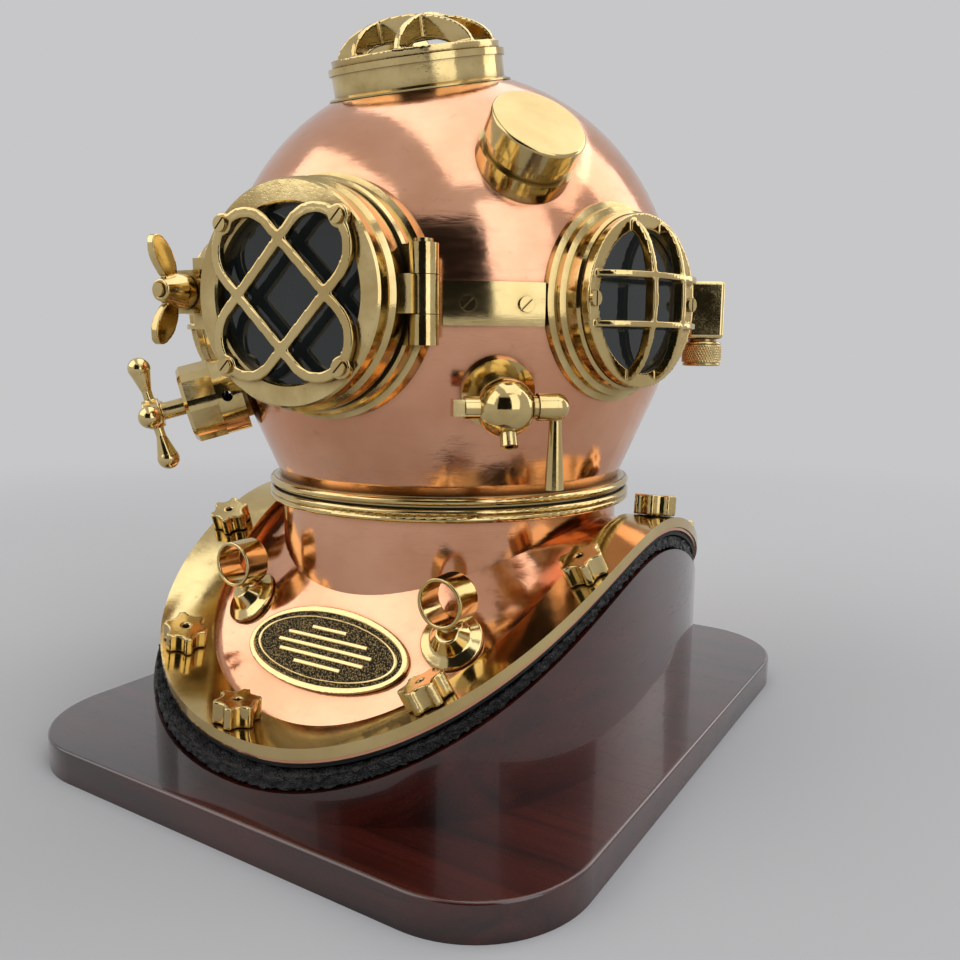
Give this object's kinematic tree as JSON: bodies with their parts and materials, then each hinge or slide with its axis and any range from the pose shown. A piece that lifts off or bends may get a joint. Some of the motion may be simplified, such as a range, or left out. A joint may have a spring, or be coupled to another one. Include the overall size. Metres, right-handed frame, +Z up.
{
  "type": "diving helmet",
  "caption": "Copper and brass deep-sea diving helmet with hinged face window, barred windows, valves and breastplate, on a wooden display stand.",
  "frame": {"origin": "centre of the underside of the stand's board", "axes": "+Z up, front of the breastplate and stand faces -Y, the wearer's left is +X; the bonnet stands turned 5.5 degrees towards +X"},
  "size_m": [0.412, 0.492, 0.5075],
  "materials": {
    "mahogany": "glossy varnish",
    "pad": "crinkled black",
    "gasket": "matt black rubber",
    "copper": "polished copper",
    "brass": "polished brass",
    "glass": "clear thick glass",
    "plate": "antique field, polished rim",
    "steel": "spring wire",
    "speaker": "black"
  },
  "bodies": {
    "stand": {"base_plank_front": "mahogany", "base_plank_rear": "mahogany", "plinth_front": "mahogany", "plinth_rear": "mahogany", "plinth_left": "mahogany", "plinth_right": "mahogany", "plinth_pad": "pad"},
    "breastplate": {"breastplate_shell": "copper", "breastplate_collar": "copper", "flange_gasket": "gasket", "brail_front_left": "brass", "brail_front_right": "brass", "brail_rear_left": "brass", "brail_rear_right": "brass", "flange_studs": "brass", "flange_nuts": "brass", "lashing_eye_left": "brass", "lashing_eye_right": "brass", "name_plate": "plate", "lower_neck_ring": "brass", "neck_gasket": "gasket"},
    "bonnet": {"dome_shell": "copper", "upper_neck_ring": "brass", "front_window_frame": "brass", "hinge_pin": "brass", "strap_plate": "brass", "bonnet_screws": "brass", "left_window_frame": "brass", "left_window_glass": "glass", "left_window_guard": "brass", "right_window_frame": "brass", "right_window_glass": "glass", "right_window_guard": "brass", "top_window_frame": "brass", "top_window_glass": "glass", "top_window_guard": "brass", "exhaust_body": "brass", "exhaust_cover": "brass", "spitcock_body": "brass", "receiver_cup": "brass", "receiver_cap": "brass", "receiver_speaker": "speaker", "air_elbow": "brass", "phone_elbow": "brass"},
    "door": {"door_ring": "brass", "door_gasket": "gasket", "door_glass": "glass", "door_retaining_ring": "brass", "door_guard": "brass", "door_guard_screws": "brass"},
    "wing_screw": {"clamp_bolt": "brass", "wing_nut": "brass"},
    "exhaust_handle": {"exhaust_handle": "brass"},
    "exhaust_disc": {"exhaust_disc": "brass", "exhaust_spring": "steel"},
    "spitcock_lever": {"spitcock_plug": "brass", "spitcock_lever": "brass"},
    "air_union": {"air_union_cap": "brass"},
    "phone_union": {"phone_union_cap": "brass"},
    "non_return_valve": {"non_return_valve": "brass"}
  },
  "joints": [
    {"name": "helmet_lift", "type": "slide", "parent": "stand", "child": "breastplate", "axis": [0, 0, 1], "range_m": [0, 0.25]},
    {"name": "bonnet_turn", "type": "hinge", "parent": "breastplate", "child": "bonnet", "pos_m": [0, 0, 0.184], "axis": [0, 0, 1], "range_deg": [-5.5, 39.5]},
    {"name": "door_hinge", "type": "hinge", "parent": "bonnet", "child": "door", "pos_m": [0.08976, -0.16013, 0.312], "axis": [0, 0, 1], "range_deg": [0, 110]},
    {"name": "wing_screw_turn", "type": "hinge", "parent": "door", "child": "wing_screw", "pos_m": [-0.06345, -0.20703, 0.316], "axis": [0.0958, -0.9954, 0], "continuous": true},
    {"name": "exhaust_handle_turn", "type": "hinge", "parent": "bonnet", "child": "exhaust_handle", "pos_m": [-0.14044, -0.162, 0.23669], "axis": [-0.6463, -0.7178, -0.2588], "range_deg": [-405, 405]},
    {"name": "exhaust_disc_lift", "type": "slide", "parent": "bonnet", "child": "exhaust_disc", "axis": [-0.6463, -0.7178, -0.2588], "range_m": [0, 0.005], "stiffness_N_per_m": 200, "springref_m": -0.004},
    {"name": "spitcock_turn", "type": "hinge", "parent": "bonnet", "child": "spitcock_lever", "pos_m": [0.12479, -0.12923, 0.25014], "axis": [-0.7193, -0.6947, 0], "range_deg": [0, 90]},
    {"name": "air_union_turn", "type": "hinge", "parent": "bonnet", "child": "air_union", "pos_m": [0.16371, 0.09643, 0.278], "axis": [0, 0, 1], "continuous": true},
    {"name": "phone_union_turn", "type": "hinge", "parent": "bonnet", "child": "phone_union", "pos_m": [-0.1791, 0.06342, 0.278], "axis": [0, 0, 1], "continuous": true},
    {"name": "non_return_valve_lift", "type": "slide", "parent": "bonnet", "child": "non_return_valve", "axis": [0, 0, 1], "range_m": [0, 0.004]}
  ]
}
